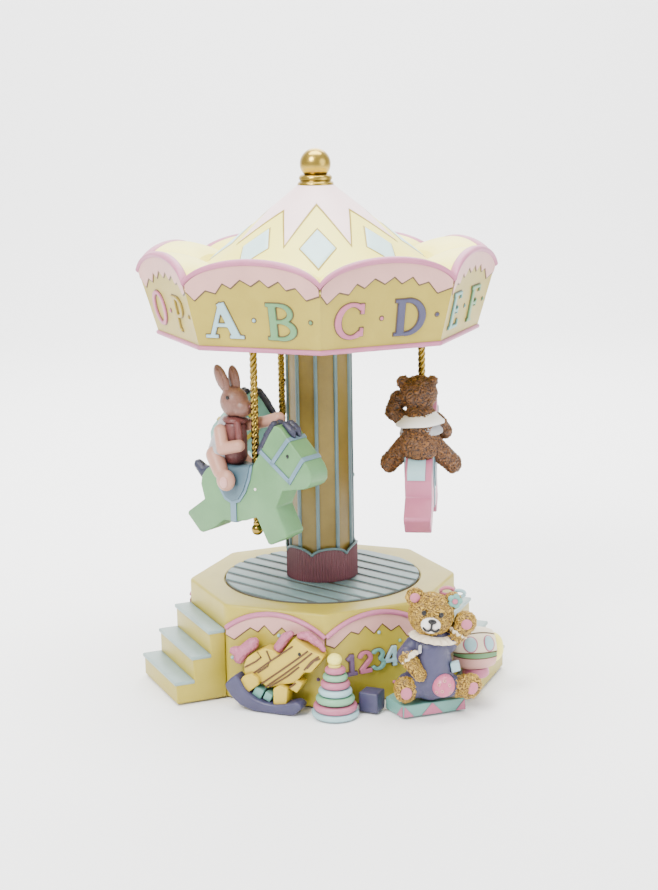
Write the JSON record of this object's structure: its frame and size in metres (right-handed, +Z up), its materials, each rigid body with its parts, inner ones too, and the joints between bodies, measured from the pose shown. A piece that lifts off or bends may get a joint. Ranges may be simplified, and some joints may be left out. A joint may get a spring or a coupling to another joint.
{
  "type": "carousel music box",
  "caption": "Wind-up carousel music box: octagonal toy-strewn plinth, turning deck, column and scalloped canopy with animal riders on twisted poles.",
  "frame": {"origin": "centre of the plinth's felt resting face, on the turning axis", "axes": "+Z up along the turning axis; -Y towards the plinth corner with the toys; +X to the right of that view"},
  "size_m": [0.1752, 0.1702, 0.25],
  "materials": {
    "cream_resin": "hand-painted cast resin, satin, antique wash",
    "green_felt": "felt",
    "black_plastic": "moulded",
    "steel": "satin",
    "spring_steel": "polished",
    "zinc": "cast",
    "brass": "satin",
    "twisted_brass": "polished",
    "gold_paint": "satin gold",
    "yellow_toy_resin": "painted, brown line work",
    "navy_resin": "painted",
    "pastel_ring_resin": "painted rings",
    "aqua_resin": "painted",
    "golden_fur_resin": "modelled curly fur",
    "brown_fur_resin": "modelled curly fur",
    "pink_resin": "painted",
    "beige_resin": "painted bands",
    "white_plastic": "moulded",
    "deck_resin": "painted planks",
    "mustard_resin": "painted, antique wash",
    "rose_resin": "painted pleats",
    "wood": "bare",
    "green_resin": "painted",
    "teal_resin": "painted",
    "rabbit_resin": "painted",
    "puppy_resin": "painted spots"
  },
  "bodies": {
    "base": {"base_casting": "cream_resin", "left_steps": "cream_resin", "right_steps": "cream_resin", "felt_ring": "green_felt", "base_plate": "black_plastic", "base_plate_screws": "steel", "bedplate": "steel", "movement_spacers": "steel", "movement_screws": "steel", "spring_barrel": "steel", "mainspring": "spring_steel", "cylinder_bracket": "steel", "comb": "spring_steel", "comb_block": "zinc", "comb_screws": "steel", "governor_bracket": "steel", "shaft_bush": "brass", "rocking_horse": "yellow_toy_resin", "rocker_bow": "navy_resin", "ring_stack": "pastel_ring_resin", "toy_block": "navy_resin", "bear_plinth": "aqua_resin", "teddy_bear": "golden_fur_resin", "toy_ball": "pink_resin", "toy_airship": "beige_resin"},
    "winding_train": {"winding_key": "brass", "winding_arbor": "steel", "great_wheel": "brass"},
    "cylinder": {"pinned_cylinder": "brass", "cylinder_arbor": "steel", "cylinder_gear": "brass"},
    "governor": {"governor_worm": "steel", "governor_fly": "white_plastic"},
    "carousel": {"drive_shaft": "steel", "output_gear": "brass", "turntable_disc": "deck_resin", "column": "mustard_resin", "column_skirt": "rose_resin", "column_plug": "wood", "tie_rod": "steel", "canopy_nut": "steel", "canopy_ceiling": "cream_resin", "canopy_shell": "cream_resin", "canopy_roof": "pink_resin", "finial_collar": "gold_paint", "finial_ball": "gold_paint", "pole_1": "twisted_brass", "pole_2": "twisted_brass", "pole_3": "twisted_brass", "pole_ball_1": "twisted_brass", "pole_ball_2": "twisted_brass", "pole_ball_3": "twisted_brass", "green_horse": "green_resin", "pink_horse": "pink_resin", "teal_horse": "teal_resin", "rabbit_rider": "rabbit_resin", "bear_rider": "brown_fur_resin", "puppy_rider": "puppy_resin"}
  },
  "joints": [
    {"name": "carousel_spin", "type": "hinge", "parent": "base", "child": "carousel", "pos_m": [0, 0, 0.042], "axis": [0, 0, 1], "continuous": true},
    {"name": "key_spin", "type": "hinge", "parent": "base", "child": "winding_train", "pos_m": [-0.01631, -0.00761, 0.015], "axis": [0, 0, 1], "continuous": true},
    {"name": "cylinder_spin", "type": "hinge", "parent": "base", "child": "cylinder", "pos_m": [-0.01631, 0.017, 0.02995], "axis": [0, 1, 0], "continuous": true},
    {"name": "governor_spin", "type": "hinge", "parent": "base", "child": "governor", "pos_m": [-0.00856, 0.0303, 0.025], "axis": [0, 0, 1], "continuous": true}
  ],
  "couplings": [
    {"joint": "key_spin", "follows": "carousel_spin", "ratio": -0.5},
    {"joint": "cylinder_spin", "follows": "carousel_spin", "ratio": -1.25},
    {"joint": "governor_spin", "follows": "carousel_spin", "ratio": 50}
  ]
}
